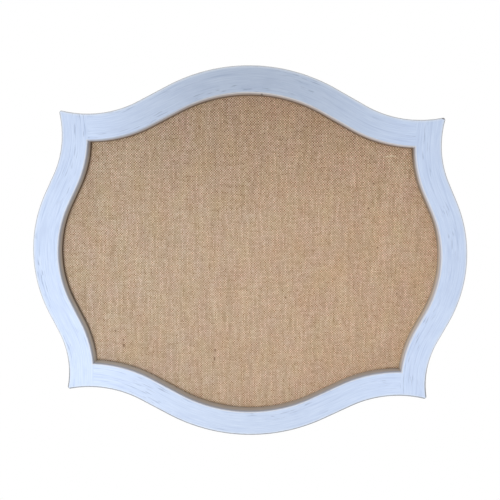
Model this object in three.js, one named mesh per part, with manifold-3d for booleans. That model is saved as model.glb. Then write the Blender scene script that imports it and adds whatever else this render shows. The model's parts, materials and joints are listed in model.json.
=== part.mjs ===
// Memo board: burlap over a cork pin board, in a shaped wooden frame with round crowns, swelling sides
// and a flared horn at each corner.
// Millimetres. X runs across the board, Y runs back to the wall, Z runs up.
// The origin lies on the wall, behind the middle of the board.

import * as THREE from 'three';
import { mergeVertices } from 'three/addons/utils/BufferGeometryUtils.js';
import Module from 'manifold-3d';

const wasm = await Module();
wasm.setup();

// The frame's outline, seen from the front
const boardWidth = 800;
const boardHeight = 685;
const hornSetIn = 55.5; // a horn's tip, in from the widest part of the board
const hornSetDown = 81.5; // a horn's tip, down or up from the tallest part of the board
const crownRadius = 320; // the round at the middle of the top and bottom rails
const crownStraight = 60; // the straight stretch between a crown's round and its flare
const crownFlareRadius = 202; // the hollow sweep from a crown out to a horn
const cheekRadius = 256; // the round at the middle of each stile
const cheekStraight = 38; // the straight stretch between a cheek's round and its flare
const cheekFlareRadius = 168; // the hollow sweep from a cheek out to a horn
const hornTipRadius = 4.5; // the sanded tip of a horn, on the outer edge
const cornerEase = 0.5; // the least radius of a corner on any inset edge

// The section of the frame's moulding
const faceWidth = 47.5;
const frameThickness = 32;
const lipThickness = 18; // in front of the panels
const rabbetWidth = 10;
const frontArris = 2.5;
const sightArris = 2;
const backArris = 1;

// Fits between pieces
const seatGap = 0.3; // between pieces that rest on each other
const panelFit = 0.5; // between the panels and the rabbet's wall
const cutOverrun = 1; // how far a cutter runs past what it cuts
const cutterReach = boardWidth + boardHeight; // a block that reaches past the whole board

// Panels in the rabbet, from the front
const clothThickness = 1;
const corkThickness = 5;
const hemWidth = 26;
const backingThickness = 3;

// Dowels in the joints between rails and stiles
const dowelRadius = 4;
const dowelLength = 40;
const dowelChamfer = 1;
const dowelFlute = 0.4; // depth of the grooves along it
const dowelFit = 0.3;
const dowelPlaceShares = [0.27, 0.73]; // across the joint, from the rabbet to the outer edge

// Framer's points, which hold the panels in
const pointThickness = 0.6;
const pointWidth = 7;
const pointBite = 6; // driven into the rabbet's wall
const pointTail = 9; // lying over the backing
const pointTabRadius = 2;
const pointTurnShares = [-0.8, 0, 0.8]; // along a member's round, out from its middle

// Hangers on the backs of the stiles
const hangerHeight = 112; // hinge axis above the board's middle
const strapWidth = 13;
const strapThickness = 1;
const ringWireRadius = 1.2;
const ringFit = 0.3; // round the wire in the strap's loop
const ringSideFit = 0.5; // between the loop's ends and the ring's corners
const ringCornerRadius = 3;
const ringArm = 3.5; // straight part of each side of the ring
const ringToScrew = 2; // clear of the upper screw's head when the ring hangs down

// Screws through the straps
const screwHeadRadius = 3.4;
const screwHeadHeight = 1.9;
const screwTopShare = 0.75; // how much of the head's radius its flat top takes
const screwShankRadius = 1.6;
const screwLength = 15; // under the head
const screwTip = 3; // tapering end of the shank
const screwFit = 0.3;
const screwRecessDepth = 1.1; // of the cross in the head
const screwRecessWidth = 0.9;
const screwRecessSpan = 3.6;
const screwPitch = 13; // between the two screws of a strap

// Rubber wall bumpers behind the lower horns
const bumperRadius = 6.5;
const bumperThickness = 6; // this stands the frame off the wall
const bumperArris = 1.5;
const bumperPlaceShare = 0.5; // from the inner corner out to the horn's tip

// Steps in the round forms
const crownSteps = 10;
const flareSteps = 8;
const cheekSteps = 8;
const arrisSteps = 3;
const tipSteps = 3;
const wireSides = 12;
const cornerSteps = 4;
const bowSteps = 14;
const dowelSides = 12;
const roundSides = 24;

// Depths that follow, as distances behind the front of the frame
const clothFront = lipThickness + seatGap;
const clothBack = clothFront + clothThickness;
const corkFront = clothBack + seatGap;
const corkBack = corkFront + corkThickness;
const hemFront = corkBack + seatGap;
const hemBack = hemFront + clothThickness;
const backingFront = hemBack + seatGap;
const backingBack = backingFront + backingThickness;
const pointFront = backingBack + seatGap;
const frameFrontY = -(bumperThickness + frameThickness);
const frameBackY = -bumperThickness;
const rabbetInset = faceWidth - rabbetWidth;
const clothInset = rabbetInset + panelFit;
const corkInset = clothInset + clothThickness + seatGap;
const hemInset = corkInset + hemWidth;

const paint = (color, roughness, metalness = 0) =>
  new THREE.MeshStandardMaterial({ color, roughness, metalness });
const finishes = {
  paintedWood: paint(0xd3e0f6, 0.55),
  burlap: paint(0xb49d85, 0.95),
  cork: paint(0xb98a5a, 0.9),
  hardboard: paint(0x6b4a30, 0.7),
  dowel: paint(0xd8b98a, 0.75),
  steel: paint(0xb9bcc0, 0.35, 1),
  rubber: paint(0x2b2b2d, 0.85),
};

const board = new THREE.Group();

function addPiece(name, geometry, finish) {
  const mesh = new THREE.Mesh(geometry, finish);
  mesh.name = name;
  board.add(mesh);
  return mesh;
}

// Solids for cutting and joining
function solidOf(geometry) {
  const bare = geometry.clone();
  bare.deleteAttribute('normal');
  bare.deleteAttribute('uv');
  const merged = mergeVertices(bare);
  return new wasm.Manifold(
    new wasm.Mesh({
      numProp: 3,
      vertProperties: new Float32Array(merged.attributes.position.array),
      triVerts: new Uint32Array(merged.index.array),
    }),
  );
}

function geometryOf(solid) {
  const mesh = solid.getMesh();
  const geometry = new THREE.BufferGeometry();
  geometry.setAttribute('position', new THREE.BufferAttribute(mesh.vertProperties, mesh.numProp));
  geometry.setIndex(new THREE.BufferAttribute(mesh.triVerts, 1));
  geometry.computeVertexNormals();
  return geometry;
}

function block(low, high) {
  const size = high.clone().sub(low);
  const middle = low.clone().add(high).multiplyScalar(0.5);
  return new THREE.BoxGeometry(size.x, size.y, size.z).translate(middle.x, middle.y, middle.z);
}

// Joins rings of points, each closed on itself, into one tube that closes on its own start
function closedLoft(rings) {
  const across = rings[0].length;
  const points = rings.flat();
  const faces = [];
  for (let i = 0; i < rings.length; i++) {
    const next = (i + 1) % rings.length;
    for (let j = 0; j < across; j++) {
      const beside = (j + 1) % across;
      const a = i * across + j;
      const b = next * across + j;
      const c = next * across + beside;
      const d = i * across + beside;
      faces.push(a, b, d, b, c, d);
    }
  }
  const geometry = new THREE.BufferGeometry().setFromPoints(points);
  geometry.setIndex(faces);
  geometry.computeVertexNormals();
  return geometry;
}

// The direction from one point to another, as an angle from the first axis
const bearing = (from, to) => Math.atan2(to.y - from.y, to.x - from.x);

// One quarter of the outline runs from the middle of a side out to a horn: a round, a short straight
// stretch, then a hollow flare that ends at the horn's tip. Each meets the next smoothly. Here x runs
// along the side from its middle, and y runs out from the middle of the board. An inset edge keeps the
// same two centres.
class Sweep {
  constructor(reach, roundRadius, straight, flareRadius, tip) {
    this.roundRadius = roundRadius;
    this.flareRadius = flareRadius;
    this.round = new THREE.Vector2(0, reach - roundRadius);
    const chord = tip.clone().sub(this.round);
    const span = chord.length();
    const between = Math.hypot(roundRadius + flareRadius, straight);
    const along = (between ** 2 - flareRadius ** 2 + span ** 2) / (2 * span);
    const aside = Math.sqrt(between ** 2 - along ** 2);
    const forward = chord.divideScalar(span);
    const outward = new THREE.Vector2(-forward.y, forward.x);
    this.flare = this.round.clone().addScaledVector(forward, along).addScaledVector(outward, aside);
    const slant = Math.atan2(straight, roundRadius + flareRadius);
    this.turn = Math.PI / 2 - bearing(this.round, this.flare) - slant;
  }

  // A point on the round, at an angle from its middle
  onRound(angle, inset) {
    const radius = this.roundRadius - inset;
    return new THREE.Vector2(Math.sin(angle), Math.cos(angle)).multiplyScalar(radius).add(this.round);
  }

  // How far out the inset edge is, at a distance along the side from its middle
  outAt(along, inset) {
    const roundRadius = this.roundRadius - inset;
    const flareRadius = this.flareRadius + inset;
    const roundEnd = this.onRound(this.turn, inset);
    if (along < roundEnd.x) {
      return this.round.y + Math.sqrt(roundRadius ** 2 - (along - this.round.x) ** 2);
    }
    if (along < this.flare.x - flareRadius * Math.sin(this.turn)) {
      return roundEnd.y - (along - roundEnd.x) * Math.tan(this.turn);
    }
    return this.flare.y - Math.sqrt(flareRadius ** 2 - (along - this.flare.x) ** 2);
  }

  // The inset edge from the middle of the side out to the horn, whose rounded tip has its centre there
  points(inset, tipCentre, roundSteps) {
    const edge = [];
    for (let i = 0; i <= roundSteps; i++) {
      edge.push(this.onRound((this.turn * i) / roundSteps, inset));
    }
    const radius = this.flareRadius + inset;
    const start = -Math.PI / 2 - this.turn;
    const stop = bearing(this.flare, tipCentre);
    for (let i = 0; i <= flareSteps; i++) {
      const angle = start + ((stop - start) * i) / flareSteps;
      const spoke = new THREE.Vector2(Math.cos(angle), Math.sin(angle)).multiplyScalar(radius);
      edge.push(spoke.add(this.flare));
    }
    return edge;
  }
}

const swapped = (point) => new THREE.Vector2(point.y, point.x);
const hornTip = new THREE.Vector2(boardWidth / 2 - hornSetIn, boardHeight / 2 - hornSetDown);
const crown = new Sweep(boardHeight / 2, crownRadius, crownStraight, crownFlareRadius, hornTip);
const cheek = new Sweep(boardWidth / 2, cheekRadius, cheekStraight, cheekFlareRadius, swapped(hornTip));

// The upper right horn's sharp corner on an inset edge, where the two flares meet
function hornAt(inset) {
  const one = crown.flare;
  const other = swapped(cheek.flare);
  const oneRadius = crownFlareRadius + inset;
  const otherRadius = cheekFlareRadius + inset;
  const link = other.clone().sub(one);
  const span = link.length();
  const along = (oneRadius ** 2 - otherRadius ** 2 + span ** 2) / (2 * span);
  const aside = Math.sqrt(oneRadius ** 2 - along ** 2);
  const forward = link.divideScalar(span);
  const inward = new THREE.Vector2(forward.y, -forward.x);
  if (inward.dot(hornTip) > 0) {
    inward.negate();
  }
  return one.clone().addScaledVector(forward, along).addScaledVector(inward, aside);
}

// The radius of a horn's tip on an inset edge
const tipRadiusAt = (inset) => Math.max(hornTipRadius - inset, cornerEase);

// The whole inset edge, clockwise from the middle of the top
function edgeLoop(inset) {
  const tipRadius = tipRadiusAt(inset);
  const tipCentre = hornAt(inset + tipRadius);
  const top = crown.points(inset, tipCentre, crownSteps);
  const side = cheek.points(inset, swapped(tipCentre), cheekSteps).map(swapped);
  const from = bearing(tipCentre, crown.flare);
  const to = bearing(tipCentre, swapped(cheek.flare));
  const tip = [];
  for (let i = 1; i < tipSteps; i++) {
    const angle = from + ((to - from) * i) / tipSteps;
    tip.push(new THREE.Vector2(Math.cos(angle), Math.sin(angle)).multiplyScalar(tipRadius).add(tipCentre));
  }
  const quarter = [...top, ...tip, ...side.reverse()];
  const lower = quarter.slice(0, -1).reverse().map((p) => new THREE.Vector2(p.x, -p.y));
  const right = [...quarter, ...lower];
  const left = right.slice(1, -1).reverse().map((p) => new THREE.Vector2(-p.x, p.y));
  return [...right, ...left];
}

// The moulding's section, as insets from the outer edge and depths behind the front
function mouldingSection() {
  const section = [];
  for (let i = 0; i <= arrisSteps; i++) {
    const angle = ((Math.PI / 2) * i) / arrisSteps;
    const inset = frontArris * (1 - Math.cos(angle));
    section.push([inset, frontArris * (1 - Math.sin(angle))]);
  }
  for (let i = 0; i <= arrisSteps; i++) {
    const angle = ((Math.PI / 2) * i) / arrisSteps;
    const inset = faceWidth - sightArris * (1 - Math.sin(angle));
    section.push([inset, sightArris * (1 - Math.cos(angle))]);
  }
  section.push([faceWidth, lipThickness]);
  section.push([rabbetInset, lipThickness]);
  section.push([rabbetInset, frameThickness]);
  section.push([backArris, frameThickness]);
  section.push([0, frameThickness - backArris]);
  return section;
}

// The moulding swept round the whole outline, then parted at the joints
function sweptMoulding() {
  const strips = mouldingSection().map(([inset, depth]) =>
    edgeLoop(inset).map((p) => new THREE.Vector3(p.x, frameFrontY + depth, p.y)),
  );
  return solidOf(closedLoft(strips));
}

// A shape in the board's plane, filled between two depths
function upright(shape, front, back) {
  const geometry = new THREE.ExtrudeGeometry(shape, { depth: back - front, bevelEnabled: false });
  return geometry.rotateX(Math.PI / 2).translate(0, frameFrontY + back, 0);
}

// A flat sheet with the board's outline
function sheet(inset, front, back) {
  return upright(new THREE.Shape(edgeLoop(inset)), front, back);
}

// Joints: the stiles run through, and the rails butt against them at the inner corners
const innerCorner = hornAt(faceWidth + cornerEase);
const jointX = innerCorner.x;
const dowelDepth = frameThickness / 2;
const jointInnerZ = crown.outAt(jointX, rabbetInset);
const jointOuterZ = crown.outAt(jointX, 0);
const dowelHeights = dowelPlaceShares.map((share) => THREE.MathUtils.lerp(jointInnerZ, jointOuterZ, share));
const corners = [
  ['top_left', -1, 1],
  ['top_right', 1, 1],
  ['bottom_left', -1, -1],
  ['bottom_right', 1, -1],
];

// The ground that a rail fills, up or down: between the joints, and in from the inner corners to the
// middle of the board, so that it takes in none of a stile
function railGround(halfSpan, hand) {
  const cornerZ = innerCorner.y * hand;
  const ground = new THREE.Shape([
    new THREE.Vector2(),
    new THREE.Vector2(halfSpan, cornerZ),
    new THREE.Vector2(halfSpan, cutterReach * hand),
    new THREE.Vector2(-halfSpan, cutterReach * hand),
    new THREE.Vector2(-halfSpan, cornerZ),
  ]);
  return solidOf(upright(ground, -cutOverrun, frameThickness + cutOverrun));
}

function roundBar(radius, length) {
  return new THREE.CylinderGeometry(radius, radius, length, dowelSides).rotateZ(Math.PI / 2);
}

function dowel() {
  const half = dowelLength / 2;
  const outline = new THREE.Shape();
  for (let i = 0; i < dowelSides * 2; i++) {
    const angle = (Math.PI * i) / dowelSides;
    const radius = i % 2 ? dowelRadius - dowelFlute : dowelRadius;
    const point = new THREE.Vector2(Math.cos(angle), Math.sin(angle)).multiplyScalar(radius);
    if (i) {
      outline.lineTo(point.x, point.y);
    } else {
      outline.moveTo(point.x, point.y);
    }
  }
  const bar = new THREE.ExtrudeGeometry(outline, { depth: dowelLength, bevelEnabled: false });
  bar.rotateY(Math.PI / 2).translate(-half, 0, 0);
  const envelope = [
    new THREE.Vector2(0, -half),
    new THREE.Vector2(dowelRadius - dowelChamfer, -half),
    new THREE.Vector2(dowelRadius + cutOverrun, -half + dowelChamfer + cutOverrun),
    new THREE.Vector2(dowelRadius + cutOverrun, half - dowelChamfer - cutOverrun),
    new THREE.Vector2(dowelRadius - dowelChamfer, half),
    new THREE.Vector2(0, half),
  ];
  const turned = new THREE.LatheGeometry(envelope, dowelSides * 2).rotateZ(Math.PI / 2);
  return geometryOf(solidOf(bar).intersect(solidOf(turned)));
}

// Framer's points lie in the plane of the back, tip outwards
function pointPlate(width, tail, bite, thickness, tabRadius) {
  const half = width / 2;
  const plate = new THREE.Shape();
  plate.moveTo(-half, tabRadius - tail);
  plate.absarc(tabRadius - half, tabRadius - tail, tabRadius, Math.PI, Math.PI * 1.5, false);
  plate.absarc(half - tabRadius, tabRadius - tail, tabRadius, Math.PI * 1.5, Math.PI * 2, false);
  plate.lineTo(half, bite - half);
  plate.lineTo(0, bite);
  plate.lineTo(-half, bite - half);
  plate.closePath();
  const settings = { depth: thickness, bevelEnabled: false, curveSegments: arrisSteps };
  return new THREE.ExtrudeGeometry(plate, settings).rotateX(Math.PI / 2).translate(0, thickness, 0);
}

// Each side of the frame: its sweep, and the turn that brings that sweep's outward direction round
const sides = [
  ['top', crown, 0],
  ['right', cheek, Math.PI / 2],
  ['bottom', crown, Math.PI],
  ['left', cheek, -Math.PI / 2],
];

// Where the points go: on the rabbet's wall along the round of each side
function pointPlaces() {
  const places = [];
  for (const [side, sweep, turn] of sides) {
    pointTurnShares.forEach((share, i) => {
      const angle = sweep.turn * share;
      const foot = sweep.onRound(angle, rabbetInset).rotateAround(new THREE.Vector2(), -turn);
      places.push({ name: `${side}_framers_point_${i + 1}`, foot, turn: turn + angle });
    });
  }
  return places;
}

function placedPoint(geometry, { foot, turn }, depth) {
  return geometry.rotateY(turn).translate(foot.x, frameFrontY + depth, foot.y);
}

function pointSlot(place) {
  const width = pointWidth + seatGap * 2;
  const bite = pointBite + seatGap * 2;
  const thickness = pointThickness + seatGap * 2;
  const cutter = pointPlate(width, cutOverrun + pointTabRadius, bite, thickness, pointTabRadius);
  return solidOf(placedPoint(cutter, place, pointFront - seatGap));
}

// Hangers. The strap hangs down from the loop at its top end, flat on the stile.
const loopInner = ringWireRadius + ringFit;
const loopOuter = loopInner + strapThickness;
const hingeY = frameBackY + seatGap + loopOuter;
const ringHalfWidth = strapWidth / 2 + ringSideFit + ringCornerRadius;
const ringReach = ringCornerRadius + ringArm + ringHalfWidth + ringWireRadius;
const upperScrewDrop = ringReach + ringToScrew + screwHeadRadius;
const lowerScrewDrop = upperScrewDrop + screwPitch;
const screwDrops = [upperScrewDrop, lowerScrewDrop]; // from the hinge axis
const strapLength = lowerScrewDrop + strapWidth / 2;
const strapMiddle = hangerHeight - strapLength / 2;
const hingeX = (cheek.outAt(strapMiddle, 0) + cheek.outAt(strapMiddle, rabbetInset)) / 2;
const strapBackY = frameBackY + seatGap + strapThickness;
const screwHeights = screwDrops.map((drop) => hangerHeight - drop);

function strap() {
  const half = strapWidth / 2;
  const plate = new THREE.Shape();
  plate.moveTo(-half, 0);
  plate.lineTo(-half, half - strapLength);
  plate.absarc(0, half - strapLength, half, Math.PI, Math.PI * 2, false);
  plate.lineTo(half, 0);
  plate.closePath();
  for (const drop of screwDrops) {
    const hole = new THREE.Path();
    hole.absarc(0, -drop, screwShankRadius + screwFit, 0, Math.PI * 2, true);
    plate.holes.push(hole);
  }
  const settings = { depth: strapThickness, bevelEnabled: false, curveSegments: wireSides / 2 };
  const tongue = new THREE.ExtrudeGeometry(plate, settings).rotateX(Math.PI / 2);
  tongue.translate(0, strapThickness - loopOuter, 0);
  const ends = new THREE.Shape();
  ends.absarc(0, 0, loopOuter, 0, Math.PI * 2, false);
  const bore = new THREE.Path();
  bore.absarc(0, 0, loopInner, 0, Math.PI * 2, true);
  ends.holes.push(bore);
  const loopSettings = { depth: strapWidth, bevelEnabled: false, curveSegments: wireSides };
  const loop = new THREE.ExtrudeGeometry(ends, loopSettings).rotateY(Math.PI / 2).translate(-half, 0, 0);
  return solidOf(tongue).add(solidOf(loop));
}

// The ring's wire runs through the loop, round two corners and down into a half-round bow
function ringLine() {
  const line = new THREE.CurvePath();
  const bend = (x, z, radius, start, stop) => {
    const arc = new THREE.EllipseCurve(x, z, radius, radius, start, stop, true);
    line.add(arc);
  };
  const straight = (x1, z1, x2, z2) => {
    line.add(new THREE.LineCurve(new THREE.Vector2(x1, z1), new THREE.Vector2(x2, z2)));
  };
  const cornerX = ringHalfWidth - ringCornerRadius;
  const bowZ = -ringCornerRadius - ringArm;
  straight(-cornerX, 0, cornerX, 0);
  bend(cornerX, -ringCornerRadius, ringCornerRadius, Math.PI / 2, 0);
  straight(ringHalfWidth, -ringCornerRadius, ringHalfWidth, bowZ);
  bend(0, bowZ, ringHalfWidth, 0, -Math.PI);
  straight(-ringHalfWidth, bowZ, -ringHalfWidth, -ringCornerRadius);
  bend(-cornerX, -ringCornerRadius, ringCornerRadius, Math.PI, Math.PI / 2);
  return line;
}

function ring() {
  const sections = [];
  for (const curve of ringLine().curves) {
    const steps = curve.isLineCurve ? 1 : curve.xRadius > ringCornerRadius ? bowSteps : cornerSteps;
    for (let i = 0; i < steps; i++) {
      const centre = curve.getPoint(i / steps);
      const tangent = curve.getTangent(i / steps);
      const section = [];
      for (let j = 0; j < wireSides; j++) {
        const angle = (Math.PI * 2 * j) / wireSides;
        const aside = Math.cos(angle) * ringWireRadius;
        const back = Math.sin(angle) * ringWireRadius;
        section.push(new THREE.Vector3(centre.x - tangent.y * aside, back, centre.y + tangent.x * aside));
      }
      sections.push(section);
    }
  }
  return closedLoft(sections);
}

// A pan-head screw, head towards the wall, its axis along Y and its seat at zero
function screw() {
  const profile = [
    new THREE.Vector2(0, -screwLength),
    new THREE.Vector2(screwShankRadius, screwTip - screwLength),
    new THREE.Vector2(screwShankRadius, 0),
    new THREE.Vector2(screwHeadRadius, 0),
    new THREE.Vector2(screwHeadRadius, screwHeadHeight / 2),
    new THREE.Vector2(screwHeadRadius * screwTopShare, screwHeadHeight),
    new THREE.Vector2(0, screwHeadHeight),
  ];
  let solid = solidOf(new THREE.LatheGeometry(profile, roundSides / 2));
  const half = screwRecessWidth / 2;
  const reach = screwRecessSpan / 2;
  for (const [x, z] of [[half, reach], [reach, half]]) {
    const low = new THREE.Vector3(-x, screwHeadHeight - screwRecessDepth, -z);
    const high = new THREE.Vector3(x, screwHeadHeight + cutOverrun, z);
    solid = solid.subtract(solidOf(block(low, high)));
  }
  return geometryOf(solid);
}

function screwHole(x, z) {
  const radius = screwShankRadius + screwFit;
  const length = screwLength + seatGap + cutOverrun;
  const hole = new THREE.CylinderGeometry(radius, radius, length, roundSides / 2);
  return solidOf(hole.translate(x, frameBackY + cutOverrun - length / 2, z));
}

function bumper() {
  const profile = [
    new THREE.Vector2(0, seatGap),
    new THREE.Vector2(bumperRadius, seatGap),
    new THREE.Vector2(bumperRadius, bumperThickness - bumperArris),
  ];
  for (let i = 1; i <= arrisSteps; i++) {
    const angle = ((Math.PI / 2) * i) / arrisSteps;
    const radius = bumperRadius - bumperArris * (1 - Math.cos(angle));
    profile.push(new THREE.Vector2(radius, bumperThickness - bumperArris * (1 - Math.sin(angle))));
  }
  profile.push(new THREE.Vector2(0, bumperThickness));
  return new THREE.LatheGeometry(profile, roundSides);
}

// The four members of the frame
function addFrame() {
  const moulding = sweptMoulding();
  const railEnd = jointX - seatGap / 2;
  const stileEnd = jointX + seatGap / 2;
  const stiles = moulding.subtract(railGround(stileEnd, 1)).subtract(railGround(stileEnd, -1));
  const far = new THREE.Vector3(cutterReach, cutterReach, cutterReach);
  const nearMiddle = new THREE.Vector3(0, -cutterReach, -cutterReach);
  const rightHalf = solidOf(block(nearMiddle, far));
  const members = {
    top_rail: moulding.intersect(railGround(railEnd, 1)),
    bottom_rail: moulding.intersect(railGround(railEnd, -1)),
    left_stile: stiles.subtract(rightHalf),
    right_stile: stiles.intersect(rightHalf),
  };
  const holes = [];
  for (const [, handX, handZ] of corners) {
    for (const height of dowelHeights) {
      const hole = roundBar(dowelRadius + dowelFit, dowelLength + seatGap * 2);
      holes.push(solidOf(hole.translate(jointX * handX, frameFrontY + dowelDepth, height * handZ)));
    }
  }
  holes.push(...pointPlaces().map(pointSlot));
  for (const hand of [-1, 1]) {
    holes.push(...screwHeights.map((z) => screwHole(hingeX * hand, z)));
  }
  for (const [name, whole] of Object.entries(members)) {
    const member = holes.reduce((solid, hole) => solid.subtract(hole), whole);
    addPiece(name, geometryOf(member), finishes.paintedWood);
  }
}

function addDowels() {
  for (const [corner, handX, handZ] of corners) {
    dowelHeights.forEach((height, i) => {
      const where = ['inner', 'outer'][i];
      const piece = addPiece(`${corner}_${where}_dowel`, dowel(), finishes.dowel);
      piece.position.set(jointX * handX, frameFrontY + dowelDepth, height * handZ);
    });
  }
}

// The cloth covers the cork's face and edge, and turns over its back in a hem
function addPanels() {
  const wrap = solidOf(sheet(clothInset, clothFront, hemBack));
  const core = solidOf(sheet(clothInset + clothThickness, clothBack, hemFront));
  const mouth = solidOf(sheet(hemInset, hemFront - cutOverrun, hemBack + cutOverrun));
  addPiece('burlap_cover', geometryOf(wrap.subtract(core).subtract(mouth)), finishes.burlap);
  addPiece('pin_board', sheet(corkInset, corkFront, corkBack), finishes.cork);
  addPiece('backing_panel', sheet(clothInset, backingFront, backingBack), finishes.hardboard);
}

function addFramersPoints() {
  for (const place of pointPlaces()) {
    const plate = pointPlate(pointWidth, pointTail, pointBite, pointThickness, pointTabRadius);
    addPiece(place.name, placedPoint(plate, place, pointFront), finishes.steel);
  }
}

function addHangers() {
  for (const [side, hand] of [['left', -1], ['right', 1]]) {
    const hanger = new THREE.Group();
    hanger.position.set(hingeX * hand, hingeY, hangerHeight);
    board.add(hanger);
    const hook = new THREE.Mesh(geometryOf(strap()), finishes.steel);
    hook.name = `${side}_hanger_strap`;
    const eye = new THREE.Mesh(ring(), finishes.steel);
    eye.name = `${side}_hanger_ring`;
    hanger.add(hook, eye);
    screwHeights.forEach((z, i) => {
      const level = ['upper', 'lower'][i];
      const piece = addPiece(`${side}_hanger_${level}_screw`, screw(), finishes.steel);
      piece.position.set(hingeX * hand, strapBackY + seatGap, z);
    });
  }
}

function addBumpers() {
  const corner = hornAt(faceWidth).lerp(hornTip, bumperPlaceShare);
  for (const [side, hand] of [['left', -1], ['right', 1]]) {
    const piece = addPiece(`${side}_wall_bumper`, bumper(), finishes.rubber);
    piece.position.set(corner.x * hand, frameBackY, -corner.y);
  }
}

addFrame();
addDowels();
addPanels();
addFramersPoints();
addHangers();
addBumpers();

export default board;
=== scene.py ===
import json
from math import atan2, cos, hypot, pi, radians, sin, sqrt, tau

import bmesh
import bpy
from mathutils import Matrix, Vector, noise


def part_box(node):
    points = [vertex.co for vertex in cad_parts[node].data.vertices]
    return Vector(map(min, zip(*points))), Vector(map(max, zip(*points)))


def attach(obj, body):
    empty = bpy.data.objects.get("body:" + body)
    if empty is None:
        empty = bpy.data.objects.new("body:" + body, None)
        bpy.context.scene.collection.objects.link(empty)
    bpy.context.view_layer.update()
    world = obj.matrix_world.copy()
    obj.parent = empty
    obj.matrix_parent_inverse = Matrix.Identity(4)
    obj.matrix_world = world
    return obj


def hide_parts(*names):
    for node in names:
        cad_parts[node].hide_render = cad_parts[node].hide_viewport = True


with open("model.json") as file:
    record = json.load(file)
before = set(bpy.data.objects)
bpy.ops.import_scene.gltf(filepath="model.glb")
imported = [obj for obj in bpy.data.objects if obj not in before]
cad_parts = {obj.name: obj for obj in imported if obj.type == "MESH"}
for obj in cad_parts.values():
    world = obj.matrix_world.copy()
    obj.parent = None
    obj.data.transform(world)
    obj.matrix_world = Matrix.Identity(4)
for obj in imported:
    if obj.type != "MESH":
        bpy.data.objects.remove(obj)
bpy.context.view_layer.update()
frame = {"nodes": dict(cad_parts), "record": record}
MM = 0.001

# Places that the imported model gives
rail_low, rail_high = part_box("top_rail")
stile_low, stile_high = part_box("right_stile")
strap_low, strap_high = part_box("right_hanger_strap")
ring_low, ring_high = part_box("right_hanger_ring")
cloth_low, cloth_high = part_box("burlap_cover")
half_width = stile_high[0]
half_height = rail_high[2]
front_y = rail_low[1]
back_y = rail_high[1]
joint_x = (rail_high[0] + stile_low[0]) / 2

# The frame's outline, seen from the front
horn_set_in = 55.5 * MM
horn_set_down = 81.5 * MM
crown_radius = 320 * MM
crown_straight = 60 * MM
crown_flare_radius = 202 * MM
cheek_radius = 256 * MM
cheek_straight = 38 * MM
cheek_flare_radius = 168 * MM
horn_tip_radius = 4.5 * MM
corner_ease = 0.5 * MM

# The section of the moulding
face_width = 47.5 * MM
thickness = back_y - front_y
lip_thickness = 18 * MM
rabbet_inset = 37.5 * MM
front_arris = 2.5 * MM
sight_arris = 2 * MM
back_arris = 1 * MM
paint_lap = 5 * MM  # how far paint may stray on to the bare back
joint_hairline = 0.04 * MM

# Steps in the round forms
crown_steps = 26
flare_steps = 26
tip_steps = 8
cheek_steps = 22
arris_steps = 6
wire_sides = 20
turned_sides = 48
strap_arris_steps = 2
screw_head_steps = 4
bumper_steps = 6
bumper_seat_steps = 2
weld = 0.001 * MM  # points closer than this become one
smooth_angle = radians(32)  # edges that turn more than this show sharp


class Sweep:
    """A quarter of the outline: a round from the middle of a side, a straight stretch, then a hollow flare.

    Points are (along the side from its middle, out from the middle of the board)."""

    def __init__(self, reach, round_radius, straight, flare_radius, tip):
        self.round_radius = round_radius
        self.straight = straight
        self.flare_radius = flare_radius
        self.round = Vector((0, reach - round_radius))
        chord = tip - self.round
        between = hypot(round_radius + flare_radius, straight)
        along = (between**2 - flare_radius**2 + chord.length_squared) / (2 * chord.length)
        forward = chord.normalized()
        outward = Vector((-forward.y, forward.x))
        self.flare = self.round + forward * along + outward * sqrt(between**2 - along**2)
        to_flare = self.flare - self.round
        self.turn = atan2(to_flare.x, to_flare.y) - atan2(straight, round_radius + flare_radius)
        self.heading = Vector((cos(self.turn), -sin(self.turn)))
        self.outward = Vector((sin(self.turn), cos(self.turn)))

    def place(self, along, out):
        """How far round the side a point lies, and how far in from the side's outer edge."""
        from_round = Vector((along, out)) - self.round
        past_round = from_round.dot(self.heading)
        if past_round < 0:
            angle = atan2(from_round.x, from_round.y)
            return angle * self.round_radius, self.round_radius - from_round.length
        round_length = self.turn * self.round_radius
        if past_round < self.straight:
            return round_length + past_round, self.round_radius - from_round.dot(self.outward)
        from_flare = Vector((along, out)) - self.flare
        bend = atan2(from_flare.x, -from_flare.y) + self.turn
        length = round_length + self.straight + bend * self.flare_radius
        return length, from_flare.length - self.flare_radius


def swapped(point):
    """The same point, with along and out taking each other's place."""
    return Vector((point.y, point.x))


horn_tip = Vector((half_width - horn_set_in, half_height - horn_set_down))
crown = Sweep(half_height, crown_radius, crown_straight, crown_flare_radius, horn_tip)
cheek = Sweep(half_width, cheek_radius, cheek_straight, cheek_flare_radius, swapped(horn_tip))


def horn_at(inset):
    """Where the two flares of an inset edge would meet in a sharp corner."""
    one = crown.flare
    link = swapped(cheek.flare) - one
    one_radius = crown_flare_radius + inset
    other_radius = cheek_flare_radius + inset
    along = (one_radius**2 - other_radius**2 + link.length_squared) / (2 * link.length)
    forward = link.normalized()
    inward = Vector((forward.y, -forward.x))
    if inward.dot(horn_tip) > 0:
        inward.negate()
    return one + forward * along + inward * sqrt(one_radius**2 - along**2)


def inset_at(co):
    """How far in from the nearer outer edge a point of the board lies."""
    x, z = abs(co.x), abs(co.z)
    return min(crown.place(x, z)[1], cheek.place(z, x)[1])


def turn_between(centre, start, stop):
    """The turn about the depth axis from one point's bearing to another's, clockwise from the front."""
    from_start = start - centre
    from_stop = stop - centre
    turn = atan2(from_start.y, from_start.x) - atan2(from_stop.y, from_stop.x)
    return (turn + pi) % tau - pi


# Mesh work shared by the pieces


def everything(mesh):
    return mesh.verts[:] + mesh.edges[:] + mesh.faces[:]


def verts_of(result, key="geom"):
    return [item for item in result[key] if isinstance(item, bmesh.types.BMVert)]


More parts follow.
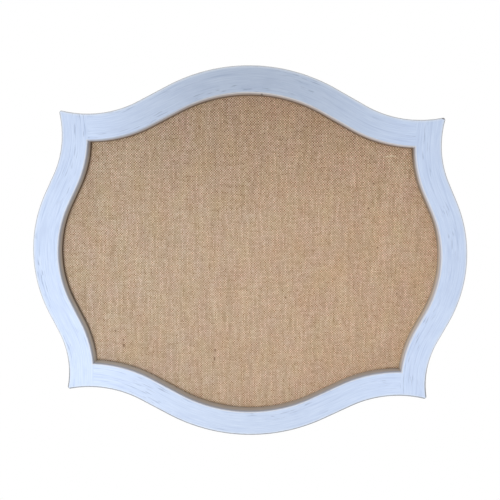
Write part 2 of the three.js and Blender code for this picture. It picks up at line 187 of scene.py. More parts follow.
def edges_of(result, key="geom"):
    return [item for item in result[key] if isinstance(item, bmesh.types.BMEdge)]


def open_edges(result):
    """The edges of a new strip of faces that nothing joins yet."""
    return [edge for edge in edges_of(result) if len(edge.link_faces) == 1]


def ends_of(edges):
    """The points of some edges, each once."""
    return list(dict.fromkeys(vert for edge in edges for vert in edge.verts))


def welded(mesh, dist=weld):
    bmesh.ops.remove_doubles(mesh, verts=mesh.verts[:], dist=dist)


def face_outwards(mesh):
    bmesh.ops.recalc_face_normals(mesh, faces=mesh.faces[:])


def spun(mesh, geom, cent, angle, steps, **more):
    """Spins some of a mesh about a line that runs from front to back."""
    return bmesh.ops.spin(mesh, geom=geom, cent=cent, axis=(0, 1, 0), angle=angle, steps=steps, **more)


class Pen:
    """Draws a path of edges across the board's plane, each stretch going on from the last point."""

    def __init__(self, mesh, x, y, z):
        self.mesh = mesh
        self.end = mesh.verts.new((x, y, z))
        self.path = []

    def turn(self, centre, angle, steps):
        """Turns clockwise, seen from the front, about a centre."""
        known = len(self.mesh.edges)
        middle = (centre.x, self.end.co.y, centre.y)
        self.end = verts_of(spun(self.mesh, [self.end], middle, angle, steps), "geom_last")[0]
        self.path.extend(list(self.mesh.edges)[known:])

    def go(self, x, z):
        """Goes straight on."""
        known = len(self.mesh.edges)
        grown = bmesh.ops.extrude_vert_indiv(self.mesh, verts=[self.end])
        self.end = grown["verts"][0]
        bmesh.ops.translate(self.mesh, vec=(x, 0, z), verts=[self.end])
        self.path.extend(list(self.mesh.edges)[known:])


def swept_edge(mesh, inset, y, bare=0.0):
    """Draws one point of a section along a quarter of the outline and gives the edges of its path."""
    side_round = swapped(cheek.round)
    side_flare = swapped(cheek.flare)
    tip = horn_at(inset + max(horn_tip_radius - inset, corner_ease))
    flare_start = crown.flare - crown.outward
    side_flare_end = swapped(cheek.flare - cheek.outward)
    pen = Pen(mesh, 0, y, half_height - inset)
    layer = mesh.verts.layers.float.get("bare")
    if layer:
        pen.end[layer] = bare
    pen.turn(crown.round, crown.turn, crown_steps)
    pen.go(*(crown.heading * crown.straight))
    pen.turn(crown.flare, turn_between(crown.flare, flare_start, tip), flare_steps)
    pen.turn(tip, turn_between(tip, crown.flare, side_flare), tip_steps)
    pen.turn(side_flare, turn_between(side_flare, tip, side_flare_end), flare_steps)
    pen.go(*(swapped(cheek.heading) * -cheek.straight))
    pen.turn(side_round, cheek.turn, cheek_steps)
    return pen.path


def lofted_quarter(mesh, section, closed):
    """Bridges the swept edges of a section, each to the next."""
    paths = [swept_edge(mesh, *point) for point in section]
    following = paths[1:] + paths[:1] if closed else paths[1:]
    for one, other in zip(paths, following):
        bmesh.ops.bridge_loops(mesh, edges=one + other)
    return paths


def mirrored(mesh, axis):
    bmesh.ops.mirror(mesh, geom=everything(mesh), axis=axis, merge_dist=weld)
    face_outwards(mesh)


def faced(mesh, face, direction):
    """Turns an open sheet's faces so that one of them looks a given way."""
    face_outwards(mesh)
    if face.normal.dot(Vector(direction)) < 0:
        bmesh.ops.reverse_faces(mesh, faces=mesh.faces[:])


def put_in(name, data):
    """Adds an object to the scene."""
    added = bpy.data.objects.new(name, data)
    bpy.context.collection.objects.link(added)
    return added


def object_of(mesh, name, material):
    """Adds an object of a finished mesh."""
    data = bpy.data.meshes.new(name)
    mesh.to_mesh(data)
    mesh.free()
    data.materials.append(material)
    return put_in(name, data)


def in_place_of(mesh, node, slot, body="board"):
    """Shows a finer piece, smooth but for its sharp edges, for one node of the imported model."""
    piece = object_of(mesh, "shown_" + node, finishes[slot])
    piece.data.polygons.foreach_set("use_smooth", [True] * len(piece.data.polygons))
    piece.data.set_sharp_from_angle(angle=smooth_angle)
    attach(piece, body)
    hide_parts(node)
    return piece


# Finishes


def colour(code):
    """A colour written as six hexadecimal digits, turned to light values."""
    parts = [int(code[i : i + 2], 16) / 255 for i in (0, 2, 4)]
    light = [c / 12.92 if c <= 0.04045 else ((c + 0.055) / 1.055) ** 2.4 for c in parts]
    return (*light, 1)


class Pattern:
    """Short ways to lay a pattern out as nodes."""

    def __init__(self, tree):
        self.tree = tree

    def add(self, kind, feeds=(), out=0, **settings):
        node = self.tree.nodes.new("ShaderNode" + kind)
        for setting, value in settings.items():
            setattr(node, setting, value)
        for socket, value in feeds:
            self.feed(node.inputs[socket], value)
        return node.outputs[out]

    def feed(self, socket, value):
        """Gives a socket a link, a colour by its code or a plain value."""
        if isinstance(value, bpy.types.NodeSocket):
            self.tree.links.new(value, socket)
        elif isinstance(value, str):
            socket.default_value = colour(value)
        else:
            socket.default_value = value

    def math(self, operation, *values):
        return self.add("Math", enumerate(values), operation=operation)

    def plus(self, one, other):
        return self.math("ADD", one, other)

    def minus(self, one, other):
        return self.math("SUBTRACT", one, other)

    def times(self, one, other):
        return self.math("MULTIPLY", one, other)

    def most(self, one, other):
        return self.math("MAXIMUM", one, other)

    def place(self):
        return self.add("TexCoord", out="Object")

    def map(self, name):
        return self.add("UVMap", uv_map=name)

    def value(self, name):
        return self.add("Attribute", out="Fac", attribute_name=name)

    def parts(self, vector):
        node = self.add("SeparateXYZ", [(0, vector)]).node
        return node.outputs[0], node.outputs[1], node.outputs[2]

    def join(self, x, y, z=0.0):
        return self.add("CombineXYZ", [(0, x), (1, y), (2, z)])

    def vectors(self, operation, *values, out=0):
        return self.add("VectorMath", enumerate(values), out=out, operation=operation)

    def stretch(self, vector, by):
        return self.vectors("MULTIPLY", vector, by)

    def noise(self, vector, scale=1.0, detail=2.0, rough=0.5, out=0):
        """Smooth random values, with one scale for all ways or one for each."""
        if isinstance(scale, tuple):
            vector, scale = self.stretch(vector, scale), 1.0
        feeds = [("Vector", vector), ("Scale", scale), ("Detail", detail), ("Roughness", rough)]
        return self.add("TexNoise", feeds, out=out)

    def cells(self, vector, scale, out="Distance", feature="F1"):
        return self.add("TexVoronoi", [("Vector", vector), ("Scale", scale)], out=out, feature=feature)

    def chance(self, vector):
        """A fixed random value for each whole place."""
        return self.add("TexWhiteNoise", [("Vector", vector)], out="Value")

    def rise(self, value, start, stop, low=0.0, high=1.0):
        """Goes from low to high as the value goes from start to stop."""
        feeds = [(0, value), (1, start), (2, stop), (3, low), (4, high)]
        return self.add("MapRange", feeds, interpolation_type="SMOOTHSTEP")

    def between(self, share, one, other):
        """Goes from one number to the other as the share goes from 0 to 1."""
        return self.add("Mix", [(0, share), (2, one), (3, other)])

    def blend(self, share, one, other, how="MIX"):
        """The same for two colours."""
        feeds = [(0, share), (6, one), (7, other)]
        return self.add("Mix", feeds, out=2, data_type="RGBA", blend_type=how)

    def raise_surface(self, height, distance, strength=1.0, over=None):
        feeds = [("Height", height), ("Distance", distance), ("Strength", strength)]
        if over:
            feeds.append(("Normal", over))
        return self.add("Bump", feeds)

    def seen_by_camera(self):
        """Whether the camera sees a place, straight or in a gloss or through glass."""
        rays = self.add("LightPath").node.outputs
        indirect = self.most(rays["Is Glossy Ray"], rays["Is Transmission Ray"])
        return self.most(rays["Is Camera Ray"], indirect)


class Finish(Pattern):
    """One material and its pattern."""

    def __init__(self, name, **own_values):
        self.material = bpy.data.materials.new(name)
        self.material.use_nodes = True
        super().__init__(self.material.node_tree)
        self.shader = self.tree.nodes["Principled BSDF"]
        for socket, value in own_values.items():
            self.feed(self.shader.inputs[socket.replace("_", " ")], value)

    def finish(self, base, roughness, normal):
        self.feed(self.shader.inputs["Base Color"], base)
        self.feed(self.shader.inputs["Roughness"], roughness)
        self.feed(self.shader.inputs["Normal"], normal)
        return self.material


corner_turn = 5 * MM  # how far round an inner corner one side's finish goes over into the next


def by_side(f, top=0.0, right=0.0, bottom=0.0, left=0.0):
    """A value for each side of the frame, changing over at the inner corners."""
    x, _, z = f.parts(f.place())
    on_right = f.rise(x, joint_x - corner_turn, joint_x + corner_turn)
    on_left = f.rise(x, -joint_x - corner_turn, corner_turn - joint_x, 1.0, 0.0)
    value = f.rise(z, -60 * MM, 60 * MM, bottom, top)
    return f.between(on_left, f.between(on_right, value, right), left)


def in_upper_part(f, low=0.0, high=1.0):
    """Goes from low under the middle of the board to high over it."""
    return f.rise(f.parts(f.place())[2], -20 * MM, 100 * MM, low, high)


def spots(f, marks, ragged):
    """Where any of some small marks lies, each with a ragged edge."""
    found = 0.0
    for middle, reach in marks:
        away = f.vectors("SUBTRACT", f.place(), (middle[0] * MM, 0, middle[1] * MM))
        away = f.stretch(away, (1 / (reach[0] * MM), 0, 1 / (reach[1] * MM)))
        away = f.vectors("LENGTH", away, out="Value")
        away = f.plus(away, f.times(f.minus(ragged, 0.5), 1.2))
        found = f.most(found, f.rise(away, 0.75, 1.15, 1.0, 0.0))
    return found


class FrameWood(Finish):
    """A finish that knows where on the moulding each point lies, and how ragged wear is there."""

    def __init__(self, name, **own_values):
        super().__init__(name, **own_values)
        self.strokes = self.map("strokes")
        self.inset = self.value("inset")
        self.depth = self.minus(self.parts(self.place())[1], front_y)
        self.ragged = self.noise(self.strokes, (160, 900, 1), detail=2)


def brushed_paint(f):
    """Pale blue paint with fine brush lines, longer streaks and crowds of short dark dashes."""
    fine = f.noise(f.strokes, (24, 560, 1), detail=3, rough=0.6)
    streak = f.noise(f.strokes, (9, 240, 1), detail=2)
    cloud = f.noise(f.strokes, (12, 34, 1), detail=4, rough=0.6)
    dash = f.rise(f.noise(f.strokes, (40, 430, 1), detail=1), 0.58, 0.7)
    crowd = f.rise(f.noise(f.strokes, (7, 38, 1), detail=1), 0.45, 0.64)
    paint = f.blend(f.rise(fine, 0.3, 0.72), "BECEEA", "CDDBF3")
    paint = f.blend(f.rise(streak, 0.54, 0.76, 0, 0.5), paint, "A3B4D6")
    paint = f.blend(f.rise(cloud, 0.5, 0.75, 0, 0.45), paint, "B3C2E0")
    paint = f.blend(f.times(f.times(dash, crowd), 0.52), paint, "7C8BA9")
    # Painted shade from the 'dull' attribute, darkest in the middle of the rails
    rail_shade_tone = (0.73, 0.722, 0.70, 1)
    return f.blend(f.value("dull"), paint, rail_shade_tone, how="MULTIPLY"), fine


def towards_right(f):
    """Goes from 0 on the left part of the board to 1 on its right part."""
    return f.rise(f.parts(f.place())[0], -220 * MM, 50 * MM)


def wall_starts(f):
    """Where the face has turned in to be the wall round the cloth."""
    turning_in = by_side(f, top=2.6 * MM, right=2.4 * MM, bottom=2.1 * MM, left=2.1 * MM)
    past_turn = f.minus(f.inset, f.minus(face_width, turning_in))
    return f.rise(past_turn, 0.0, 0.9 * MM)


def at_low_left(f):
    """Goes from 0 to 1 towards the lower left corner."""
    x, _, z = f.parts(f.place())
    return f.rise(f.plus(x, z), -500 * MM, -330 * MM, 1.0, 0.0)


def thin_and_shaded_wall(f, paint, on_wall):
    """Wall paint round the cloth, greyer with painted shade, and thinner and yellower deeper in, with
    painted light thrown back from the cloth.
    """
    on_top = by_side(f, top=1.0)
    on_right = by_side(f, right=1.0)
    # Painted shade on the wall, lighter on the right side, where more light falls
    grey = f.blend(f.times(on_top, towards_right(f)), "9FA1A8", "B9ADA3")
    grey = f.blend(on_right, grey, "CBC7C6")
    wall_shade = by_side(f, top=0.66, right=0.5, bottom=0.57, left=0.62)
    paint = f.blend(f.times(on_wall, wall_shade), paint, grey)
    # Deeper in: thinner paint, with painted warm light thrown back from the cloth
    deep_tone = f.blend(in_upper_part(f), "B8AD9F", "AEA396")
    deep_tone = f.blend(at_low_left(f), deep_tone, "C7C0B4")
    deep_tone = f.blend(on_top, deep_tone, "C2B4A7")
    deep_tone = f.blend(on_right, deep_tone, "D5C8B6")
    deep_share = f.rise(f.depth, 1 * MM, 12 * MM, 0.0, 0.85)
    return f.blend(f.times(on_wall, deep_share), paint, deep_tone)


def bare_and_shaded_foot(f, paint, on_wall):
    """Bare wood and painted crevice shade where the wall meets the cloth, tallest at the top and high on
    the right.
    """
    upper = in_upper_part(f)
    on_left = f.rise(at_low_left(f), 0, 1, 1, 0.6)

    def on_right(low, high):
        return f.rise(upper, 0.0, 1.0, low, high)

    height = by_side(f, top=4 * MM, right=on_right(3 * MM, 4 * MM), bottom=1.2 * MM, left=1.2 * MM)
    reach = by_side(f, top=8 * MM, right=on_right(4 * MM, 9 * MM), bottom=3.4 * MM, left=4 * MM)
    share = by_side(f, top=0.85, right=on_right(0.4, 0.65), bottom=0.1, left=on_left)
    uneven_depth = f.plus(f.depth, f.times(f.ragged, 1.5 * MM))
    above = f.minus(f.minus(lip_thickness, height), uneven_depth)
    foot = f.rise(f.math("DIVIDE", above, reach), 0.0, 1.0, 1.0, 0.0)
    # Dark brown at the wall's foot: bare wood and painted crevice shade
    return f.blend(f.times(f.times(on_wall, foot), share), paint, "56412F")


def rubbed_and_lit_sight_edge(f, paint):
    """The pale line where the face turns in, partly rubbed paint and partly painted highlight, faint at the
    top and fading out towards its left.
    """
    on_edge = f.rise(f.inset, face_width - 3.2 * MM, face_width - 1.6 * MM)
    on_edge = f.times(on_edge, f.rise(f.depth, 0.3 * MM, 0.9 * MM, 1.0, 0.0))
    share = by_side(f, top=f.times(towards_right(f), 0.5), right=0.65, bottom=1.0, left=1.0)
    share = f.times(share, f.rise(f.ragged, 0.3, 0.6, 0.2, 0.6))
    # Rubbed paint, and a painted highlight where the arris catches the light
    return f.blend(f.times(on_edge, share), paint, "DADADB")


def rubbed_rims(f, paint):
    """Outer edges in front and behind, paler beside the edge and with the grey undercoat bare on it."""
    low = f.rise(f.parts(f.place())[2], -250 * MM, -150 * MM, 1.0, 0.0)
    in_front = f.rise(f.depth, 2.6 * MM, 5 * MM, 1.0, 0.0)
    behind = f.rise(f.depth, thickness - 2.5 * MM, thickness - 1 * MM)
    either = f.most(in_front, behind)
    paler = f.times(either, f.rise(f.inset, 2.0 * MM, 6.5 * MM, 0.4, 0.0))
    paint = f.blend(paler, paint, "E2E7EC")
    shifted = f.minus(f.inset, f.times(low, 0.9 * MM))
    rim = f.times(f.rise(shifted, 0.8 * MM, 3.2 * MM, 1.0, 0.0), either)
    rub = f.rise(f.times(rim, f.plus(f.ragged, 0.4)), 0.25, 0.7)
    undercoat = f.blend(low, "AFAFAF", "7E8084")
    return f.blend(f.times(rub, 0.85), paint, undercoat)


def bare_pine(f):
    """Pine with its growth rings and pores."""
    grain = f.map("grain")
    growth = f.noise(grain, (2.2, 70, 20), detail=2, rough=0.5)
    feeds = [("Vector", f.stretch(grain, (0.5, 26, 1))), ("Scale", 1), ("Distortion", 5), ("Detail", 2)]
    rings = f.add("TexWave", feeds)
    pores = f.noise(grain, (45, 1300, 1), detail=2, rough=0.6)
    pine = f.blend(f.rise(rings, 0.2, 0.9), "CDAE7E", "B68F5C")
    pine = f.blend(f.rise(growth, 0.45, 0.75, 0, 0.6), pine, "C29D68")
    return f.blend(f.rise(pores, 0.55, 0.8, 0, 0.5), pine, "8D6A3F"), pores


# Chips in the paint, each as its middle across and up, and its reach across and up
paint_chips = [
    ((340.5, 257.2), (4.5, 1.3)),
    ((344.0, 255.0), (1.2, 2.4)),
    ((18.0, 293.5), (2.6, 1.2)),
    ((-343.0, 256.5), (1.8, 1.2)),
]


def painted_wood():
    """Pale blue paint brushed on dry along each member, worn at the edges, with painted shade and
    highlight, over bare pine behind.
    """
    f = FrameWood("painted_wood", Specular_IOR_Level=0.4)
    paint, fine = brushed_paint(f)
    on_wall = wall_starts(f)
    paint = thin_and_shaded_wall(f, paint, on_wall)
    paint = bare_and_shaded_foot(f, paint, on_wall)
    paint = rubbed_and_lit_sight_edge(f, paint)
    paint = rubbed_rims(f, paint)
    chipped = spots(f, paint_chips, f.ragged)
    paint = f.blend(f.times(chipped, 0.85), paint, "5C5149")
    pine, pores = bare_pine(f)
    stray = f.times(f.minus(f.ragged, 0.5), 0.9)
    bare = f.rise(f.plus(f.value("bare"), stray), 0.42, 0.52)
    roughness = f.rise(fine, 0.2, 0.8, 0.42, 0.6)
    roughness = f.plus(roughness, f.times(bare, 0.2))
    relief = f.plus(f.times(fine, 0.6), f.times(pores, 0.4))
    brushed = f.raise_surface(relief, 0.12 * MM, 0.5)
    coat = f.minus(1.0, f.most(bare, chipped))
    edged = f.raise_surface(coat, 0.1 * MM, 0.8, over=brushed)
    return f.finish(f.blend(bare, paint, pine), roughness, edged)


thread_pitch = 2.35 * MM
thread_share = 0.86  # of the pitch that a thread's width takes
thread_crimp = 0.45  # how far a thread goes up and down, in half widths
thread_drift = 1.5 * MM  # how far threads wander from their straight lines

# Marks in the cloth, each as its middle across and up, and its reach across and up
dark_spots = [
    ((-238.8, -176.6), (2.6, 2.8)),
    ((-239.9, -165.3), (1.6, 1.9)),
    ((-61.9, -181.9), (1.8, 2.4)),
    ((-63.2, -197.9), (1.4, 3.2)),
    ((-255.6, -148.3), (1.6, 1.6)),
    ((240.2, 25.4), (1.8, 1.7)),
    ((195.3, 161.2), (1.6, 1.5)),
    ((219.8, 98.2), (1.6, 1.5)),
    ((227.2, 143.1), (1.4, 1.4)),
    ((280.8, -61.3), (1.4, 1.5)),
    ((70.8, -74.3), (1.4, 1.4)),
    ((-271.2, 40.1), (1.4, 1.5)),
]
pale_slubs = [
    ((257.0, 193.6), (7.0, 1.2)),
    ((248.5, 192.4), (4.0, 1.0)),
]


class Weave(Finish):
    """A finish that knows how the threads of a plain weave run, each over one and under the next."""

    def __init__(self, name, **own_values):
        super().__init__(name, **own_values)
        drift = self.noise(self.place(), scale=14, detail=2, out="Color")
        drift = self.vectors("SUBTRACT", drift, (0.5, 0.5, 0.5))
        drift = self.stretch(drift, (thread_drift, 0, thread_drift))
        self.wandered = self.vectors("ADD", self.place(), drift)
        x, _, z = self.parts(self.wandered)
        self.across = self.math("DIVIDE", x, thread_pitch)
        self.up = self.math("DIVIDE", z, thread_pitch)
        self.warp = self.math("FLOOR", self.across)
        self.weft = self.math("FLOOR", self.up)
        self.crossing = self.chance(self.join(self.warp, self.weft))
        self.from_warp = self.minus(self.math("FRACT", self.across), 0.5)
        self.from_weft = self.minus(self.math("FRACT", self.up), 0.5)
        self.warp_middle = self.math("COSINE", self.times(self.from_warp, pi))
        self.weft_middle = self.math("COSINE", self.times(self.from_weft, pi))
        odd = self.math("FRACT", self.times(self.plus(self.warp, self.weft), 0.5))
        self.warp_over = self.minus(1.0, self.times(odd, 4.0))
        self.lay_threads()

    def lay_threads(self):
        """Which thread shows, how high it stands, how thick it is there and how its fibres lie."""
        warp_swell, weft_swell = self.by_thread(7.31, 0.07, 5.17, 0.11)
        warp_lift = self.times(self.warp_over, self.weft_middle)
        weft_drop = self.times(self.warp_over, self.warp_middle)
        warp_height = self.thread_height("ADD", self.from_warp, warp_swell, warp_lift)
        weft_height = self.thread_height("SUBTRACT", self.from_weft, weft_swell, weft_drop)
        self.height = self.most(warp_height, weft_height)
        warp_shows = self.math("GREATER_THAN", warp_height, weft_height)
        warp_fibre = self.noise(self.wandered, (5200, 1, 700), detail=2, rough=0.6)
        weft_fibre = self.noise(self.wandered, (700, 1, 5200), detail=2, rough=0.6)
        self.fibre = self.between(warp_shows, weft_fibre, warp_fibre)
        self.swell = self.between(warp_shows, weft_swell, warp_swell)

    def thread_height(self, operation, away, swell, crimp):
        """A round thread of uneven width that goes over and under."""
        width = self.rise(swell, 0.25, 0.75, thread_share * 0.8, thread_share * 1.15)
        reach = self.math("DIVIDE", self.times(self.math("ABSOLUTE", away), 2.0), width)
        inside = self.minus(1.0, self.math("POWER", reach, 2.0))
        body = self.math("SQRT", self.most(inside, 0.0))
        return self.math(operation, body, self.times(crimp, thread_crimp))

    def by_thread(self, warp_step, warp_rate, weft_step, weft_rate):
        """An uneven value for each warp and each weft thread, changing slowly along it."""
        warp_place = self.join(self.times(self.warp, warp_step), self.times(self.up, warp_rate))
        weft_place = self.join(self.times(self.across, weft_rate), self.times(self.weft, weft_step))
        return self.noise(warp_place, detail=2), self.noise(weft_place, detail=2)

    def browner(self, shade, middle):
        """A shade whose dark is browner, and whose light is paler, than the same in plain grey."""
        red = self.math("MULTIPLY_ADD", shade, 0.8, 0.2 * middle)
        blue = self.math("MULTIPLY_ADD", shade, 1.3, -0.3 * middle)
        return self.join(red, shade, blue)

    def shaded(self, jute, shade, middle):
        return self.blend(1.0, jute, self.browner(shade, middle), how="MULTIPLY")


def jute_colour(f):
    """Natural jute, uneven by thread, by fibre and by patch."""
    patch = f.noise(f.place(), scale=9, detail=3)
    jute = f.blend(f.rise(f.swell, 0.3, 0.72), "BFA284", "D2B89B")
    jute = f.blend(f.rise(f.fibre, 0.5, 0.8, 0, 0.2), jute, "F0DCBC")
    jute = f.blend(f.rise(patch, 0.4, 0.75, 0, 0.35), jute, "C7A888")
    warp_tone, weft_tone = f.by_thread(3.77, 0.012, 4.13, 0.03)
    warp_tone = f.rise(warp_tone, 0.32, 0.68, -0.065, 0.065)
    weft_tone = f.rise(weft_tone, 0.32, 0.68, 0.97, 1.03)
    jute = f.shaded(jute, f.plus(warp_tone, weft_tone), 1.0)
    hue = f.noise(f.place(), (34, 1, 20), detail=3, out="Color")
    hue = f.vectors("MULTIPLY_ADD", hue, (0.13, 0.1, 0.24), (0.935, 0.95, 0.88))
    return f.blend(1.0, jute, hue, how="MULTIPLY")


def darkened_and_tinted(f, jute):
    """Darker in the middle of the top with painted shade, a little darker at the bottom, and warmer towards
    the right.
    """
    x, _, z = f.parts(f.place())
    darker_share = f.most(f.rise(z, 30 * MM, 270 * MM), f.rise(z, -220 * MM, -60 * MM, 0.3, 0.0))
    darker_share = f.times(darker_share, f.rise(f.math("ABSOLUTE", x), 100 * MM, 330 * MM, 1.0, 0.1))
    # Painted shade, darkest in the middle of the top
    jute = f.blend(darker_share, jute, (0.87, 0.845, 0.83, 1), how="MULTIPLY")
    right_warmth = f.blend(f.rise(x, -300 * MM, 360 * MM), (0.967, 0.99, 1.035, 1), (1.05, 1.0, 0.99, 1))
    return f.blend(1.0, jute, right_warmth, how="MULTIPLY")


def crowned(f, jute):
    """Warp crowns lit and weft crowns in shade, uneven by crossing and strongest at the top."""
    x, _, z = f.parts(f.place())
    tone = f.minus(0.33, f.math("POWER", f.crossing, 2.0))
    tone = f.plus(f.times(f.warp_over, 0.47), f.times(tone, 0.68))
    tone = f.times(tone, f.times(f.warp_middle, f.weft_middle))
    at_left = f.times(f.rise(x, -260 * MM, -50 * MM, 0.13, 0.0), f.rise(z, -200 * MM, 0.0))
    at_top = f.rise(z, 30 * MM, 270 * MM, 0.0, 0.4)
    contrast = f.plus(f.most(at_top, at_left), 0.91)
    middle = 0.86
    return f.shaded(jute, f.plus(f.times(tone, contrast), middle), middle)


def marked(f, jute):
    """Specks of bark, a few stains and a pale slub."""
    speck = f.rise(f.noise(f.wandered, (300, 1, 420), detail=1), 0.755, 0.82)
    stain = f.times(spots(f, dark_spots, f.crossing), 0.72)
    jute = f.blend(f.most(speck, stain), jute, "6A4527")
    slub = f.times(spots(f, pale_slubs, f.crossing), 0.58)
    return f.blend(slub, jute, "F3E2C4")


def shaded_margin(f, jute):
    """Painted shade on the cloth in the corner under the frame, most of it on the left."""
    ragged = f.times(f.minus(f.crossing, 0.5), 1.2 * MM)
    margin = f.minus(f.plus(f.value("inset"), ragged), face_width)
    margin = f.math("DIVIDE", margin, by_side(f, top=1.0, right=1.0, bottom=1.0, left=1.3))
    margin_shade = by_side(f, top=0.14, right=in_upper_part(f, 0.05, 0.1), bottom=0.08, left=0.7)
    margin_shade = f.times(margin_shade, f.rise(margin, -0.5 * MM, 3.4 * MM, 1.0, 0.0))
    # Painted shade where the frame's wall shades the cloth
    return f.blend(margin_shade, jute, "4A3728")


def burlap():
    """Natural jute cloth in an uneven plain weave, with its fibres and stains, and painted shade between
    its threads, under the frame and at the top.
    """
    f = Weave("burlap", Specular_IOR_Level=0.15, Sheen_Weight=0.15, Sheen_Roughness=0.6)
    jute = crowned(f, darkened_and_tinted(f, jute_colour(f)))
    jute = marked(f, jute)
    jute = f.shaded(jute, f.rise(f.height, 0.1, 1.15, 0.6, 1.0), 0.9)
    jute = shaded_margin(f, jute)
    woven = f.raise_surface(f.height, 0.42 * MM, 0.85)
    hairy = f.raise_surface(f.fibre, 0.12 * MM, 0.6, over=woven)
    return f.finish(jute, f.rise(f.fibre, 0.2, 0.8, 0.82, 0.95), hairy)


def cork():
    """Pressed cork granules."""
    f = Finish("cork", Specular_IOR_Level=0.2)
    place = f.place()
    grains = f.cells(place, 420, out="Color")
    gaps = f.cells(place, 420, feature="DISTANCE_TO_EDGE")
    shade = f.parts(grains)[0]
    base = f.blend(shade, "B98B5B", "D2A876")
    base = f.blend(f.rise(f.parts(grains)[1], 0.82, 0.9), base, "6E4726")
    base = f.blend(f.rise(gaps, 0.0, 0.09, 0.6, 0.0), base, "7C5531")
    base = f.blend(f.rise(f.noise(place, scale=14, detail=3), 0.4, 0.8, 0, 0.3), base, "A97C4E")
    normal = f.raise_surface(gaps, 0.4 * MM, 0.6)
    return f.finish(base, f.rise(shade, 0.0, 1.0, 0.78, 0.92), normal)


def hardboard():
    """Brown pressed fibre, with the imprint of the press screen on its back."""
    f = Finish("hardboard", Specular_IOR_Level=0.3)
    place = f.place()
    x, y, z = f.parts(place)
    fibre = f.noise(place, (260, 90, 700), detail=4, rough=0.65)
    fleck = f.noise(place, scale=900, detail=2)
    cloud = f.noise(place, scale=6, detail=4)
    screen_pitch = 1.8 * MM
    wires_across = f.math("SINE", f.times(x, tau / screen_pitch))
    wires_up = f.math("SINE", f.times(z, tau / screen_pitch))
    low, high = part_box("backing_panel")
    behind = f.math("GREATER_THAN", y, (low[1] + high[1]) / 2)
    screen = f.times(f.times(wires_across, wires_up), behind)
    base = f.blend(f.rise(fibre, 0.3, 0.75), "6A4A31", "85603F")
    base = f.blend(f.rise(fleck, 0.62, 0.78, 0, 0.6), base, "A9825A")
    base = f.blend(f.rise(fleck, 0.2, 0.36, 0.55, 0.0), base, "3E2A1B")
    base = f.blend(f.rise(cloud, 0.4, 0.75, 0, 0.4), base, "5B3F2A")
    base = f.blend(f.rise(screen, -0.2, 0.9, 0.18, 0.0), base, "2F1F14")
    pressed = f.raise_surface(screen, 0.22 * MM, 0.7)
    fuzzy = f.raise_surface(fibre, 0.1 * MM, 0.5, over=pressed)
    return f.finish(base, f.rise(fibre, 0.2, 0.8, 0.6, 0.78), fuzzy)


def beech():
    """Fluted beech dowel, with short flecks along it."""
    f = Finish("beech", Specular_IOR_Level=0.25)
    place = f.place()
    grain = f.noise(place, (60, 900, 900), detail=3, rough=0.6)
    fleck = f.rise(f.noise(place, (300, 1500, 1500), detail=1), 0.6, 0.72)
    base = f.blend(f.rise(grain, 0.3, 0.7), "C79F6B", "DDBE8D")
    base = f.blend(f.times(fleck, 0.6), base, "9C7142")
    normal = f.raise_surface(grain, 0.08 * MM, 0.5)
    return f.finish(base, f.rise(grain, 0.2, 0.8, 0.6, 0.78), normal)


def zinc_steel():
    """Bright zinc plate with its faint crystal pattern, rolling lines and dull patches."""
    f = Finish("zinc_steel", Metallic=1.0)
    place = f.place()
    crystal = f.parts(f.cells(place, 700, out="Color"))[0]
    dull = f.noise(place, scale=260, detail=3)
    line = f.noise(place, (3500, 3500, 260), detail=2, rough=0.6)
    base = f.blend(crystal, "B9BCC2", "D2D5DA")
    base = f.blend(f.rise(dull, 0.5, 0.8, 0, 0.5), base, "8F9296")
    roughness = f.plus(f.rise(dull, 0.35, 0.7, 0.26, 0.46), f.times(line, 0.08))
    normal = f.raise_surface(line, 0.02 * MM, 0.5)
    return f.finish(base, roughness, normal)


def rubber():
    """Dull black moulded rubber with a little dust."""
    f = Finish("rubber", Specular_IOR_Level=0.35)
    place = f.place()
    skin = f.noise(place, scale=1800, detail=2)
    dust = f.rise(f.noise(place, scale=160, detail=4), 0.5, 0.8, 0.0, 0.35)
    base = f.blend(dust, "1F1F21", "55534F")
    normal = f.raise_surface(skin, 0.06 * MM, 0.5)
    return f.finish(base, f.rise(skin, 0.3, 0.7, 0.62, 0.8), normal)


finishes = {
    "painted_wood": painted_wood(),
    "burlap": burlap(),
    "cork": cork(),
    "hardboard": hardboard(),
    "dowel_wood": beech(),
    "zinc_steel": zinc_steel(),
    "rubber": rubber(),
}

# The frame's four members


def moulding_section():
    """Insets from the outer edge, depths behind the front, and how bare of paint each point is."""
    points = []
    for i in range(arris_steps + 1):
        angle = pi / 2 * i / arris_steps
        points.append((front_arris * (1 - cos(angle)), front_arris * (1 - sin(angle)), 0))
    points.append((front_arris * 1.4, 0, 0))
    points.append((face_width - sight_arris * 1.5, 0, 0))
    for i in range(arris_steps + 1):
        angle = pi / 2 * i / arris_steps
        points.append((face_width - sight_arris * (1 - sin(angle)), sight_arris * (1 - cos(angle)), 0))
    points.append((face_width, lip_thickness, 0))
    points.append((face_width - paint_lap / 2, lip_thickness, 1))
    points.append((rabbet_inset, lip_thickness, 1))
    points.append((rabbet_inset, thickness, 1))
    points.append((back_arris + paint_lap, thickness, 1))
    points.append((back_arris, thickness, 0.2))
    points.append((0, thickness - back_arris, 0))
    return [(inset, front_y + depth, bare) for inset, depth, bare in points]


def quarter_cut_at(x, keep_rail):
    """A quarter of the moulding, cut square at the joint and closed there with its end grain."""
    mesh = bmesh.new()
    mesh.verts.layers.float.new("bare")
    lofted_quarter(mesh, moulding_section(), closed=True)
    cut = bmesh.ops.bisect_plane(
        mesh,
        geom=everything(mesh),
        dist=weld / 10,
        plane_co=(x, 0, 0),
        plane_no=(1, 0, 0),
        clear_outer=keep_rail,
        clear_inner=not keep_rail,
    )
    bmesh.ops.holes_fill(mesh, edges=edges_of(cut, "geom_cut"), sides=0)
    return mesh


rail_shade_reach = 280 * MM  # how far out from its middle a rail takes painted shade
